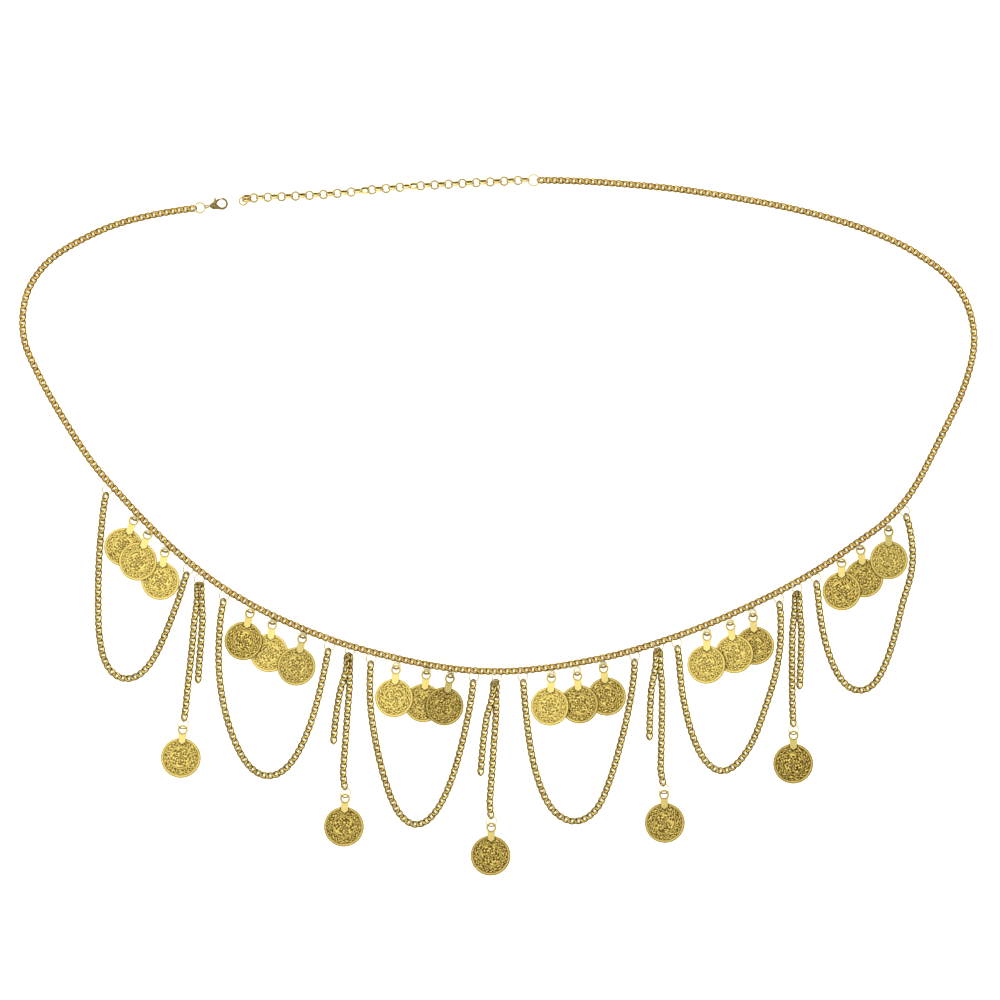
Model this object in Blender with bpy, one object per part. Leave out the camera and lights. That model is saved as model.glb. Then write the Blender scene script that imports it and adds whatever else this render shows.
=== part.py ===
"""Coin waist chain, laid flat: a long curb chain with six swags, five drops and twenty-three hanging coins.

Run it with: blender --background --python part.py
Units are metres, +Z is up, and the origin is the centre of the footprint, on the surface it lies on.
The short tables of routes and places are in millimetres, x to the right and y away from the viewer.
"""

import math

import bmesh
import bpy
import numpy as np
from mathutils import Matrix, Vector

MM = 0.001

# Curb chain, the same for the waist, the swags and the drops
CHAIN_WIDTH = 3.5 * MM
CHAIN_HEIGHT = 1.9 * MM
CHAIN_CREST = 2.0 * MM
LINK_PITCH = 3.25 * MM
JOINT_SHARE = 0.72
SMOOTHING_RUNS = 3
FOLD_STEPS = 7
CURVE_STEPS = 12

# Space left between neighbouring pieces
GAP = 0.35 * MM

# Jump rings
RING_WIRE = 0.7 * MM
SWAG_RING_DIAMETER = 3.0 * MM
END_RING_DIAMETER = 6.2 * MM
RING_STEPS = 10
RING_SIDES = 4
RING_LEAN = math.radians(14)
END_RING_LEAN = math.radians(4)

# Coins, each with a flat tab whose round eye hangs on a jump ring
GROUP_COIN_DIAMETER = 19.5 * MM
DROP_COIN_DIAMETER = 20.2 * MM
COIN_THICKNESS = 1.2 * MM
COIN_RIM_WIDTH = 1.0 * MM
COIN_RIM_HEIGHT = 0.3 * MM
COIN_SIDES = 20
EYE_TO_COIN = 14.3 * MM
EYE_DIAMETER = 5.2 * MM
EYE_HOLE = 2.8 * MM
EYE_SIDES = 8
TAB_WIDTH = 3.8 * MM
TAB_THICKNESS = 0.9 * MM
TAB_LAP = 3.2 * MM
TAB_SINK = 0.15 * MM
TAB_POINT = 1.2 * MM
FLOOR_CLEARANCE = 0.02 * MM
COIN_RING_CENTRE = 0.3 * MM

# Extender of round links, alternately lying and standing
ROLO_DIAMETER = 5.0 * MM
ROLO_PITCH = 3.59 * MM
ROLO_WIRE = 1.3 * MM
ROLO_LIE = 1.9 * MM

# Lobster clasp
CLASP_HEIGHT = 1.8 * MM
CLASP_LOOP_RADIUS = 2.9 * MM
CLASP_BAR = 0.95 * MM
CLASP_LENGTH = 7.9 * MM
CLASP_TAIL_WIDTH = 2.0 * MM
CLASP_TAIL_START = 6.4 * MM
CLASP_SHOULDER = (-4.2 * MM, -2.3 * MM)
CLASP_SHOULDER_ARC = math.radians(125)
CLASP_INNER_ARC = math.radians(150)
CLASP_BACK = (-5.4 * MM, 1.7 * MM)
LEVER_PIVOT = (-3.6 * MM, 0.9 * MM)
LEVER_EYE = 0.75 * MM
LEVER_POCKET = 1.1 * MM
HOOK_TIP_OUTER = math.radians(88)
HOOK_TIP_INNER = math.radians(76)
LEVER_TIP_OUTER = math.radians(95)
LEVER_TIP_INNER = math.radians(85.5)
LEVER_ROOT = math.radians(147)
LEVER_EYE_START = math.radians(150)
LEVER_POCKET_END = math.radians(280)
LEVER_NUB = [(-3.1 * MM, 2.3 * MM), (-3.4 * MM, 3.3 * MM), (-4.1 * MM, 3.3 * MM), (-4.1 * MM, 1.8 * MM)]

# Colours as seen: antique gold, paler brass, dark bronze
GOLD = (0.56, 0.38, 0.10, 1.0)
PALE_GOLD = (0.74, 0.62, 0.33, 1.0)
COIN_GOLD = (0.60, 0.47, 0.20, 1.0)
BRONZE = (0.24, 0.18, 0.08, 1.0)

# Direction from the coins' feet to the waist chain, in the plane that the part lies on
UP = np.array([0.0, 1.0])

# Waist chain from the clasp round to the extender: x, y
WAIST_ROUTE = [
    (-155.2, 160.8), (-177.0, 157.0), (-197.5, 151.3), (-217.0, 141.8), (-228.0, 134.3),
    (-235.5, 125.5), (-240.0, 116.5), (-242.1, 105.0), (-241.0, 93.5), (-237.2, 83.5),
    (-226.5, 63.0), (-208.0, 33.7), (-192.0, 15.0), (-177.0, -1.0), (-161.5, -15.5),
    (-141.5, -31.0), (-121.0, -43.0), (-101.0, -52.2), (-80.5, -60.0), (-60.0, -65.8),
    (-40.0, -70.4), (-19.5, -73.6), (1.0, -74.6), (21.0, -73.2), (41.5, -70.0), (62.0, -65.6),
    (82.0, -59.6), (102.5, -52.2), (122.5, -43.6), (143.0, -33.7), (163.5, -22.0), (183.5, -8.2),
    (194.0, -0.8), (201.5, 6.2), (207.2, 12.8), (214.2, 23.7), (224.0, 43.0), (233.9, 63.3),
    (239.8, 80.6), (242.0, 95.0), (239.5, 108.0), (234.3, 119.3), (224.5, 129.5), (214.0, 136.7),
    (204.0, 142.5), (183.5, 151.0), (153.0, 159.6), (122.5, 165.6), (92.5, 170.2), (62.0, 173.1),
    (41.5, 174.4), (21.2, 175.0),
]

# Swags from their left end to their right end: x, y
SWAG_ROUTES = {
    "swag_1": [
        (-199.5, 17.0), (-201.2, 2.5), (-202.9, -18.0), (-203.3, -38.5), (-203.0, -53.5),
        (-201.5, -64.5), (-198.5, -73.0), (-193.3, -77.8), (-187.5, -79.0), (-182.0, -76.5),
        (-176.0, -69.7), (-171.0, -59.8), (-166.0, -47.5), (-161.3, -34.5), (-158.0, -23.2),
    ],
    "swag_2": [
        (-139.5, -36.5), (-141.3, -48.5), (-142.2, -66.0), (-141.3, -81.5), (-138.5, -96.5),
        (-133.5, -111.3), (-126.5, -123.3), (-117.5, -128.5), (-108.5, -124.8), (-101.0, -114.5),
        (-94.7, -99.0), (-90.0, -81.5), (-88.0, -68.5), (-87.0, -61.0),
    ],
    "swag_3": [
        (-65.0, -69.0), (-65.3, -89.0), (-63.0, -107.0), (-58.5, -127.0), (-52.0, -144.7),
        (-42.5, -153.8), (-33.0, -147.7), (-25.5, -134.0), (-20.0, -117.0), (-15.3, -96.5),
        (-13.2, -84.0), (-12.6, -79.0),
    ],
    "swag_4": [
        (12.5, -78.5), (13.5, -91.5), (16.0, -112.0), (20.0, -129.5), (27.2, -145.0),
        (38.5, -151.5), (49.5, -145.5), (56.7, -129.5), (62.2, -110.5), (66.6, -91.5),
        (68.8, -76.5), (69.7, -68.5),
    ],
    "swag_5": [
        (91.5, -62.5), (92.5, -79.0), (95.5, -96.5), (100.5, -112.5), (107.0, -122.7),
        (113.5, -126.4), (120.8, -122.3), (129.0, -110.5), (135.2, -94.0), (140.2, -78.0),
        (143.2, -61.0), (143.2, -39.0),
    ],
    "swag_6": [
        (161.7, -28.0), (162.7, -41.0), (165.5, -58.0), (170.3, -72.5), (176.3, -82.0),
        (183.5, -85.5), (191.0, -81.5), (197.0, -69.8), (201.8, -54.5), (205.5, -38.5),
        (209.0, -28.0), (210.6, -18.0), (209.5, -5.0), (206.8, 6.5),
    ],
}

# Drops, one chain folded over its ring: the free leg, then the leg that carries the coin, each from the fold down
DROP_ROUTES = {
    "drop_chain_1": {
        "free": [(-149.8, -38.5), (-150.2, -48.5), (-151.0, -58.5), (-151.8, -68.5), (-152.5, -78.0)],
        "coin": [
            (-154.0, -38.5), (-154.5, -48.5), (-155.5, -61.0), (-156.9, -74.0), (-158.3, -87.0), (-159.2, -98.5),
        ],
    },
    "drop_chain_2": {
        "free": [(-79.8, -75.0), (-81.2, -85.0), (-82.7, -96.5), (-83.7, -109.0)],
        "coin": [(-75.4, -75.0), (-76.2, -89.0), (-77.5, -107.0), (-78.6, -121.0), (-79.4, -133.0)],
    },
    "drop_chain_3": {
        "free": [(-5.2, -85.0), (-6.3, -95.0), (-7.7, -108.5), (-9.0, -125.0)],
        "coin": [(-0.9, -85.0), (-1.5, -99.0), (-2.7, -117.0), (-4.0, -135.0), (-5.0, -148.0)],
    },
    "drop_chain_4": {
        "free": [(78.8, -71.5), (77.7, -82.5), (77.0, -94.0), (76.7, -107.0)],
        "coin": [(83.1, -71.5), (83.1, -89.0), (82.7, -112.0), (82.1, -131.0)],
    },
    "drop_chain_5": {
        "free": [(153.8, -43.5), (153.8, -60.0), (153.0, -81.0)],
        "coin": [(149.5, -43.5), (149.1, -63.5), (149.1, -84.0), (149.6, -100.5)],
    },
}

# Coins in groups on the waist chain: place of the coin's middle, how far its foot swings left and its side
# tilt, in degrees, and how high it lies on its neighbours, in millimetres
COIN_GROUPS = {
    "coin_1": [(-190.4, -11.4, 21.0, 0.0, 0.0), (-183.0, -18.7, 20.0, 0.0, 1.6), (-171.7, -28.5, 9.0, 0.0, 0.0)],
    "coin_2": [(-129.5, -59.0, 13.5, -7.5, 0.0), (-116.5, -65.2, 6.5, 0.0, 0.0), (-102.5, -72.0, 11.5, 7.5, 0.0)],
    "coin_3": [(-53.0, -88.0, 4.0, -7.5, 0.0), (-38.2, -90.6, 6.0, 0.0, 0.0), (-27.3, -92.2, 10.5, 9.5, 0.0)],
    "coin_4": [(26.0, -92.3, 3.5, -7.5, 0.0), (41.0, -91.2, -3.5, -8.5, 0.0), (55.0, -87.3, -6.5, 0.0, 0.0)],
    "coin_5": [(105.5, -71.0, 1.5, -8.5, 0.0), (119.7, -65.7, -7.5, -9.5, 0.0), (130.3, -61.5, -4.0, 0.0, 0.0)],
    "coin_6": [(174.2, -33.8, 0.0, -9.0, 0.0), (185.8, -27.2, -7.5, 0.0, 0.0), (198.3, -18.0, -1.0, 8.0, 0.0)],
}

# Coins that end the drops: place of the coin's middle and how far its foot swings left, in degrees
DROP_COINS = {
    "drop_coin_1": (-161.3, -118.5, 4.0),
    "drop_coin_2": (-78.5, -153.4, 2.5),
    "drop_coin_3": (-4.0, -168.1, 1.5),
    "drop_coin_4": (84.5, -151.5, -1.5),
    "drop_coin_5": (149.7, -121.4, 0.5),
}

# Extender from its free end to the ring on the waist chain: x, y
EXTENDER_ROUTE = [
    (-129.0, 164.4), (-112.0, 166.2), (-87.5, 168.4), (-62.5, 170.5), (-37.0, 172.2), (-12.0, 173.8), (14.3, 175.0),
]

CLASP_RING_AT = (-151.7, 161.0)
EXTENDER_RING_AT = (17.8, 175.2)
CLASP_LOOP_AT = (-140.4, 163.0)
CLASP_TURN = math.radians(11)


def clear_scene():
    for old in list(bpy.data.objects):
        bpy.data.objects.remove(old, do_unlink=True)


def metal(name, colour, roughness):
    material = bpy.data.materials.new(name)
    material.use_nodes = True
    shader = material.node_tree.nodes["Principled BSDF"]
    shader.inputs["Base Color"].default_value = colour
    shader.inputs["Roughness"].default_value = roughness
    shader.inputs["Metallic"].default_value = 1.0
    return material


def add_object(name, mesh, material):
    piece = bpy.data.objects.new(name, mesh)
    bpy.context.scene.collection.objects.link(piece)
    mesh.materials.clear()
    mesh.materials.append(material)
    return piece


def hinge_empty(name, place, turn):
    """An empty on a joint's axis, turned about Z."""
    empty = bpy.data.objects.new(name, None)
    empty.matrix_world = Matrix.Translation(place) @ Matrix.Rotation(turn, 4, "Z")
    bpy.context.scene.collection.objects.link(empty)
    return empty


def carry(empty, piece):
    """Parents a piece to its joint's empty, with the piece's origin moved onto the axis."""
    inverse = empty.matrix_world.inverted()
    piece.data.transform(inverse)
    piece.parent = empty


def mesh_of(shape):
    bmesh.ops.recalc_face_normals(shape, faces=shape.faces[:])
    mesh = bpy.data.meshes.new("shape")
    shape.to_mesh(mesh)
    shape.free()
    mesh.shade_smooth()
    mesh.set_sharp_from_angle(angle=math.radians(35))
    return mesh


def combined(operation, meshes):
    """The first closed mesh with the others joined to it or cut from it."""
    pieces = [bpy.data.objects.new("part", mesh) for mesh in meshes]
    for piece in pieces:
        bpy.context.scene.collection.objects.link(piece)
    for other in pieces[1:]:
        join = pieces[0].modifiers.new("join", "BOOLEAN")
        join.operation = operation
        join.object = other
    graph = bpy.context.evaluated_depsgraph_get()
    result = bpy.data.meshes.new_from_object(pieces[0].evaluated_get(graph))
    for piece in pieces:
        bpy.data.objects.remove(piece, do_unlink=True)
    result.shade_smooth()
    result.set_sharp_from_angle(angle=math.radians(35))
    return result


def smooth_route(points, step):
    """Evenly spaced points along a smooth curve through the route's own points."""
    knots = np.array(points, float) * MM
    ends = np.vstack([2 * knots[0] - knots[1], knots, 2 * knots[-1] - knots[-2]])
    fine = []
    for a, b, c, d in zip(ends, ends[1:], ends[2:], ends[3:]):
        for t in np.linspace(0, 1, CURVE_STEPS, endpoint=False):
            bend = (2 * a - 5 * b + 4 * c - d) * t**2 + (3 * b - a - 3 * c + d) * t**3
            fine.append(0.5 * (2 * b + (c - a) * t + bend))
    fine = even_points(np.vstack([fine, knots[-1]]), step)
    for _ in range(SMOOTHING_RUNS):
        fine[1:-1] = (fine[:-2] + 2 * fine[1:-1] + fine[2:]) / 4
    return even_points(fine, step)


def even_points(line, step):
    lengths = np.concatenate([[0], np.cumsum(np.linalg.norm(np.diff(line, axis=0), axis=1))])
    count = max(2, round(lengths[-1] / step))
    at = np.linspace(0, lengths[-1], count + 1)
    return np.column_stack([np.interp(at, lengths, line[:, i]) for i in range(2)])


def nearest_on(line, point):
    """The nearest point on a line of points, and the unit direction from there to the given point."""
    starts, runs = line[:-1], np.diff(line, axis=0)
    share = np.clip(((point - starts) * runs).sum(1) / (runs**2).sum(1), 0, 1)
    feet = starts + runs * share[:, None]
    foot = feet[np.argmin(np.linalg.norm(feet - point, axis=1))]
    return foot, (point - foot) / np.linalg.norm(point - foot)


def chain_profile():
    """Section of the curb chain, standing on its flat foot."""
    profile = bpy.data.curves.new("chain_section", "CURVE")
    profile.dimensions = "2D"
    spline = profile.splines.new("POLY")
    foot, crest = CHAIN_WIDTH / 2, CHAIN_CREST / 2
    section = [(-foot, 0), (-crest, CHAIN_HEIGHT), (crest, CHAIN_HEIGHT), (foot, 0)]
    spline.points.add(len(section) - 1)
    for point, (across, up) in zip(spline.points, section):
        point.co = (across, up, 0, 1)
    spline.use_cyclic_u = True
    holder = bpy.data.objects.new("chain_section", profile)
    holder.hide_render = True
    bpy.context.scene.collection.objects.link(holder)
    return holder


def chain_stretch(name, line, profile, material):
    """A curb chain as one solid whose edges go in at every joint between links."""
    curve = bpy.data.curves.new(name, "CURVE")
    curve.dimensions = "2D"
    curve.bevel_mode = "OBJECT"
    curve.bevel_object = profile
    curve.use_fill_caps = True
    spline = curve.splines.new("POLY")
    spline.points.add(len(line) - 1)
    for i, (point, (x, y)) in enumerate(zip(spline.points, line)):
        point.co = (x, y, 0, 1)
        point.radius = JOINT_SHARE if i % 2 else 1.0
    piece = bpy.data.objects.new(name, curve)
    curve.materials.append(material)
    bpy.context.scene.collection.objects.link(piece)
    return piece


def ring_shape(diameter, wire, steps=RING_STEPS):
    """A round wire ring lying flat, its middle at the origin."""
    shape = bmesh.new()
    at = Matrix.Translation((diameter / 2 - wire / 2, 0, 0)) @ Matrix.Rotation(math.pi / 2, 4, "X")
    square = Matrix.Rotation(math.pi / 4, 4, "Z")
    bmesh.ops.create_circle(shape, segments=RING_SIDES, radius=wire / 2 * math.sqrt(2), matrix=at @ square)
    bmesh.ops.spin(
        shape, geom=shape.verts[:] + shape.edges[:], cent=(0, 0, 0), axis=(0, 0, 1),
        angle=math.tau, steps=steps, use_merge=True,
    )
    bmesh.ops.remove_doubles(shape, verts=shape.verts[:], dist=0.001 * MM)
    return shape


def ring_mesh(diameter, wire, place, lean, turn=0.0):
    shape = ring_shape(diameter, wire)
    at = Matrix.Translation(place) @ Matrix.Rotation(turn, 4, "Z") @ Matrix.Rotation(lean, 4, "Y")
    bmesh.ops.transform(shape, matrix=at, verts=shape.verts[:])
    return mesh_of(shape)


def plate(outline, low, high):
    """A flat plate with the given outline of (x, y) points, between two heights."""
    shape = bmesh.new()
    face = shape.faces.new([shape.verts.new((x, y, low)) for x, y in outline])
    raised = bmesh.ops.extrude_face_region(shape, geom=[face], use_keep_orig=True)
    up = [part for part in raised["geom"] if isinstance(part, bmesh.types.BMVert)]
    bmesh.ops.translate(shape, verts=up, vec=(0, 0, high - low))
    return mesh_of(shape)


def arc(centre, radius, start, end, steps):
    angles = np.linspace(start, end, steps + 1)
    return [(centre[0] + radius * math.cos(a), centre[1] + radius * math.sin(a)) for a in angles]


def coin_disc(diameter, middle):
    """A round coin with a raised rim; middle is its centre, foot at z 0."""
    shape = bmesh.new()
    bmesh.ops.create_circle(shape, cap_ends=True, segments=COIN_SIDES, radius=diameter / 2)
    raised = bmesh.ops.extrude_face_region(shape, geom=shape.faces[:], use_keep_orig=True)
    up = [part for part in raised["geom"] if isinstance(part, bmesh.types.BMVert)]
    bmesh.ops.translate(shape, verts=up, vec=(0, 0, COIN_THICKNESS))
    shape.faces.ensure_lookup_table()
    top = max(shape.faces, key=lambda face: face.calc_center_median().z)
    bmesh.ops.inset_region(shape, faces=[top], thickness=COIN_RIM_WIDTH, use_even_offset=True)
    sunk = bmesh.ops.extrude_face_region(shape, geom=[top])
    down = [part for part in sunk["geom"] if isinstance(part, bmesh.types.BMVert)]
    bmesh.ops.translate(shape, verts=down, vec=(0, 0, -COIN_RIM_HEIGHT))
    if top.is_valid:
        bmesh.ops.delete(shape, geom=[top], context="FACES_ONLY")
    bmesh.ops.translate(shape, verts=shape.verts[:], vec=middle)
    return mesh_of(shape)


def coin_tab(eye_y, coin_y, coin_radius, low):
    """The flat tab: a round eye with a hole, and a pointed tongue that laps onto the coin."""
    half = TAB_WIDTH / 2
    spread = math.asin(half / (EYE_DIAMETER / 2))
    tongue_y = coin_y + coin_radius - TAB_LAP
    outline = arc((0, eye_y), EYE_DIAMETER / 2, -math.pi / 2 + spread, 3 * math.pi / 2 - spread, EYE_SIDES)
    outline += [(-half, tongue_y + TAB_POINT), (0, tongue_y), (half, tongue_y + TAB_POINT)]
    hole_outline = arc((0, eye_y), EYE_HOLE / 2, 0, math.tau * (1 - 1 / EYE_SIDES), EYE_SIDES - 1)
    tab = plate(outline, low, low + TAB_THICKNESS)
    hole = plate(hole_outline, low - TAB_THICKNESS, low + 2 * TAB_THICKNESS)
    return combined("DIFFERENCE", [tab, hole])


def coin_mesh(diameter, ring_diameter):
    """A coin hanging along -Y from its axis at the origin, with its tab and jump ring; the coin's foot is at z 0."""
    ring_low = ring_diameter - RING_WIRE
    eye_y = -ring_low + COIN_RING_CENTRE - RING_WIRE / 2
    coin_y = eye_y - EYE_TO_COIN
    tab_low = COIN_THICKNESS - COIN_RIM_HEIGHT - TAB_SINK
    ring_z = tab_low + TAB_THICKNESS / 2
    disc = coin_disc(diameter, (0, coin_y, 0))
    tab = coin_tab(eye_y, coin_y, diameter / 2, tab_low)
    ring = ring_mesh(ring_diameter, RING_WIRE, (0, -ring_low / 2, ring_z), RING_LEAN)
    return combined("UNION", [disc, tab, ring]), -coin_y, ring_z


def place_coin(mesh, axis_z, axis, heading, tilt, lift):
    """Moves a coin from its own frame to the world, its axis point at axis; returns that point's height."""
    turn = Matrix.Rotation(heading, 4, "Z") @ Matrix.Rotation(tilt, 4, "Y")
    mesh.transform(Matrix.Translation((*axis, axis_z)) @ turn @ Matrix.Translation((0, 0, -axis_z)))
    rise = FLOOR_CLEARANCE + lift - min(vertex.co.z for vertex in mesh.vertices)
    mesh.transform(Matrix.Translation((0, 0, rise)))
    return axis_z + rise


def upward(swing):
    """The heading of a coin whose foot swings left by so many degrees, and the direction from it to its ring."""
    heading = -math.radians(swing)
    return heading, np.array([-math.sin(heading), math.cos(heading)])


def hang_coin(name, waist, x, y, swing, tilt, lift, material):
    """A coin of a group, its middle where the table says, on a ring that just clears the waist chain."""
    middle = np.array([x, y]) * MM
    heading, up = upward(swing)
    foot, slant = cross_line(waist, middle, up)
    room = np.linalg.norm(foot - middle) - EYE_TO_COIN + COIN_RING_CENTRE + RING_WIRE / 2
    clear = CHAIN_WIDTH / 2 + GAP
    drop = (2 * clear + room * (1 - slant) + RING_WIRE * slant) / (1 + slant)
    mesh, _, axis_z = coin_mesh(GROUP_COIN_DIAMETER, room - drop)
    axis = foot - up * drop
    height = place_coin(mesh, axis_z, axis, heading, math.radians(tilt), lift * MM)
    return add_object(name, mesh, material), axis, height


def cross_line(line, start, direction):
    """Where a ray from start first meets a line of points, and the cosine of its angle to the line's normal there."""
    side = np.array([-direction[1], direction[0]])
    across = (line - start) @ side
    along = (line - start) @ direction
    hits = []
    for i in np.flatnonzero(across[:-1] * across[1:] <= 0):
        share = across[i] / (across[i] - across[i + 1])
        run = line[i + 1] - line[i]
        hits.append((along[i] + share * (along[i + 1] - along[i]), abs(run @ side) / np.linalg.norm(run)))
    distance, slant = min(hit for hit in hits if hit[0] > 0)
    return start + direction * distance, slant


def hang_ring(name, waist, near, pale):
    """A small jump ring just below the waist chain; returns its middle."""
    foot, down = nearest_on(waist, near)
    centre = foot + down * (CHAIN_WIDTH / 2 + GAP + SWAG_RING_DIAMETER / 2)
    turn = math.atan2(down[0], -down[1])
    mesh = ring_mesh(SWAG_RING_DIAMETER, RING_WIRE, (*centre, CHAIN_HEIGHT / 2), RING_LEAN, turn)
    add_object(name, mesh, pale)
    return centre


def from_ring(line, centre, diameter):
    """The line, its start moved to just clear of a ring."""
    line = line[np.linalg.norm(line - centre, axis=1) > diameter / 2 + LINK_PITCH]
    away = (line[0] - centre) / np.linalg.norm(line[0] - centre)
    return even_points(np.vstack([centre + away * (diameter / 2 + GAP), line]), LINK_PITCH)


def hang_swag(name, route, waist, profile, gold, pale):
    """A swag with a jump ring at each end, its ends set just clear of the rings."""
    line = smooth_route(route, LINK_PITCH)
    for side in ("left", "right"):
        centre = hang_ring(f"{name}_ring_{side}", waist, line[0], pale)
        line = from_ring(line, centre, SWAG_RING_DIAMETER)[::-1]
    chain_stretch(name, line, profile, gold)


def hang_drop(name, legs, coin_row, waist, profile, gold, pale, coin_gold):
    """A drop: one chain folded over its ring, in two legs side by side, with a coin on the longer leg."""
    coin_ring = hang_drop_coin(name.replace("chain", "coin"), *coin_row, coin_gold)
    free = smooth_route(legs["free"], LINK_PITCH)
    coin = from_ring(smooth_route(legs["coin"], LINK_PITCH)[::-1], coin_ring, END_RING_DIAMETER)[::-1]
    side = free[0] - coin[0]
    fold_radius = np.linalg.norm(side) / 2
    side = side / (2 * fold_radius)
    middle = (free[0] + coin[0]) / 2
    foot, slant = cross_line(waist, middle, UP)
    under = foot - UP * (CHAIN_WIDTH / 2 + GAP + SWAG_RING_DIAMETER / 2) / slant
    centre = hang_ring(name.replace("chain", "ring"), waist, under, pale)
    down = (middle - centre) / np.linalg.norm(middle - centre)
    top = centre + down * (SWAG_RING_DIAMETER / 2 + GAP + CHAIN_WIDTH / 2 + fold_radius)
    away = np.array([-side[1], side[0]]) * math.copysign(1, side[0])
    angles = np.linspace(0, math.pi, FOLD_STEPS)
    bend = [top + fold_radius * (side * math.cos(a) + away * math.sin(a)) for a in angles]
    chain_stretch(name, np.vstack([free[::-1], bend, coin]), profile, gold)


def hang_drop_coin(name, x, y, swing, material):
    """The coin that ends a drop; returns the middle of its ring."""
    middle = np.array([x, y]) * MM
    heading, up = upward(swing)
    mesh, reach, axis_z = coin_mesh(DROP_COIN_DIAMETER, END_RING_DIAMETER)
    axis = middle + up * reach
    height = place_coin(mesh, axis_z, axis, heading, 0.0, 0.0)
    piece = add_object(name, mesh, material)
    carry(hinge_empty(f"{name}_axis", (*axis, height), heading), piece)
    return axis - up * (END_RING_DIAMETER - RING_WIRE) / 2


def extender(line, material):
    """Round links, alternately lying and standing, as one solid that is wide and low, then narrow and tall."""
    along = np.diff(line, axis=0, append=[2 * line[-1] - line[-2]])
    along /= np.linalg.norm(along, axis=1)[:, None]
    shape = bmesh.new()
    sections = []
    for i, (spot, run) in enumerate(zip(line, along)):
        across = np.array([-run[1], run[0]])
        lying = (i // 2) % 2 == 0
        half = ROLO_DIAMETER / 2 if lying else ROLO_WIRE / 2
        low = (ROLO_LIE - ROLO_WIRE / 2) if lying else FLOOR_CLEARANCE
        high = (ROLO_LIE + ROLO_WIRE / 2) if lying else ROLO_DIAMETER
        corners = [(-half, low), (half, low), (half, high), (-half, high)]
        ring = [shape.verts.new((*(spot + across * side), up)) for side, up in corners]
        sections.append([shape.edges.new((ring[k], ring[(k + 1) % 4])) for k in range(4)])
    for first, second in zip(sections, sections[1:]):
        bmesh.ops.bridge_loops(shape, edges=first + second)
    for end in (sections[0], sections[-1]):
        bmesh.ops.contextual_create(shape, geom=end)
    return add_object("extender", mesh_of(shape), material)


def clasp_outline():
    """Hook, shoulder and tail of the clasp, seen from above, the loop's middle at the origin."""
    half_tail = CLASP_TAIL_WIDTH / 2
    outer_arc = arc((0, 0), CLASP_LOOP_RADIUS, HOOK_TIP_OUTER, -CLASP_SHOULDER_ARC, CURVE_STEPS)
    inner_arc = arc((0, 0), CLASP_LOOP_RADIUS - CLASP_BAR, -CLASP_INNER_ARC, HOOK_TIP_INNER, CURVE_STEPS)
    pocket = arc(LEVER_PIVOT, LEVER_POCKET, LEVER_EYE_START, LEVER_POCKET_END, 5)
    tail = [
        (-CLASP_TAIL_START, -half_tail), (-CLASP_LENGTH, -half_tail),
        (-CLASP_LENGTH, half_tail), (-CLASP_TAIL_START, half_tail),
    ]
    return outer_arc + [CLASP_SHOULDER] + tail + [CLASP_BACK] + pocket + inner_arc


def lever_outline():
    """The gate, from its round eye over the gap of the hook, with a nub for the thumb."""
    gate_outer = arc((0, 0), CLASP_LOOP_RADIUS, LEVER_TIP_OUTER, LEVER_ROOT, 4)
    gate_inner = arc((0, 0), CLASP_LOOP_RADIUS - CLASP_BAR, LEVER_ROOT, LEVER_TIP_INNER, 4)
    eye = arc(LEVER_PIVOT, LEVER_EYE, LEVER_EYE_START, math.tau, 6)
    return gate_outer + LEVER_NUB + eye + gate_inner


def clasp(bronze):
    place = np.array(CLASP_LOOP_AT) * MM
    at = Matrix.Translation((*place, 0)) @ Matrix.Rotation(CLASP_TURN, 4, "Z")
    body = plate(clasp_outline(), FLOOR_CLEARANCE, CLASP_HEIGHT)
    body.transform(at)
    add_object("clasp_body", body, bronze)
    lever = plate(lever_outline(), GAP, CLASP_HEIGHT - GAP)
    lever.transform(at)
    piece = add_object("clasp_lever", lever, bronze)
    pivot = at @ Vector((*LEVER_PIVOT, CLASP_HEIGHT / 2))
    carry(hinge_empty("clasp_lever_axis", pivot, 0.0), piece)


def main():
    clear_scene()
    gold = metal("antique_gold", GOLD, 0.35)
    pale = metal("pale_gold", PALE_GOLD, 0.3)
    coin_gold = metal("coin_gold", COIN_GOLD, 0.4)
    bronze = metal("dark_bronze", BRONZE, 0.4)
    profile = chain_profile()
    waist = smooth_route(WAIST_ROUTE, LINK_PITCH)
    chain_stretch("waist_chain", waist, profile, gold)
    for name, route in SWAG_ROUTES.items():
        hang_swag(name, route, waist, profile, gold, pale)
    for (name, legs), coin_row in zip(DROP_ROUTES.items(), DROP_COINS.values()):
        hang_drop(name, legs, coin_row, waist, profile, gold, pale, coin_gold)
    for group, rows in COIN_GROUPS.items():
        hung = [hang_coin(f"{group}_{i + 1}", waist, *row, coin_gold) for i, row in enumerate(rows)]
        axes = np.array([axis for _, axis, _ in hung])
        height = max(high for _, _, high in hung)
        run = axes[-1] - axes[0]
        empty = hinge_empty(f"{group}_axis", (*axes.mean(axis=0), height), math.atan2(run[1], run[0]))
        for piece, _, _ in hung:
            carry(empty, piece)
    for name, (x, y) in (("clasp_ring", CLASP_RING_AT), ("extender_ring", EXTENDER_RING_AT)):
        mesh = ring_mesh(END_RING_DIAMETER, RING_WIRE, (x * MM, y * MM, CHAIN_HEIGHT / 2), END_RING_LEAN)
        add_object(name, mesh, pale)
    extender(smooth_route(EXTENDER_ROUTE, ROLO_PITCH / 2), gold)
    clasp(bronze)


main()
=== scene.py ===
"""Coin waist chain, laid flat on a pale table and seen from straight above.

Every chain is made of real linked links. Every coin is struck with a generic ornament of scrolls and
stems, and hangs from its tab by a jump ring. Tables of routes and places are in millimetres, x to the
right, y away.
"""

import math

import bmesh
import bpy
import numpy as np
from mathutils import Matrix, Vector


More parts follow.
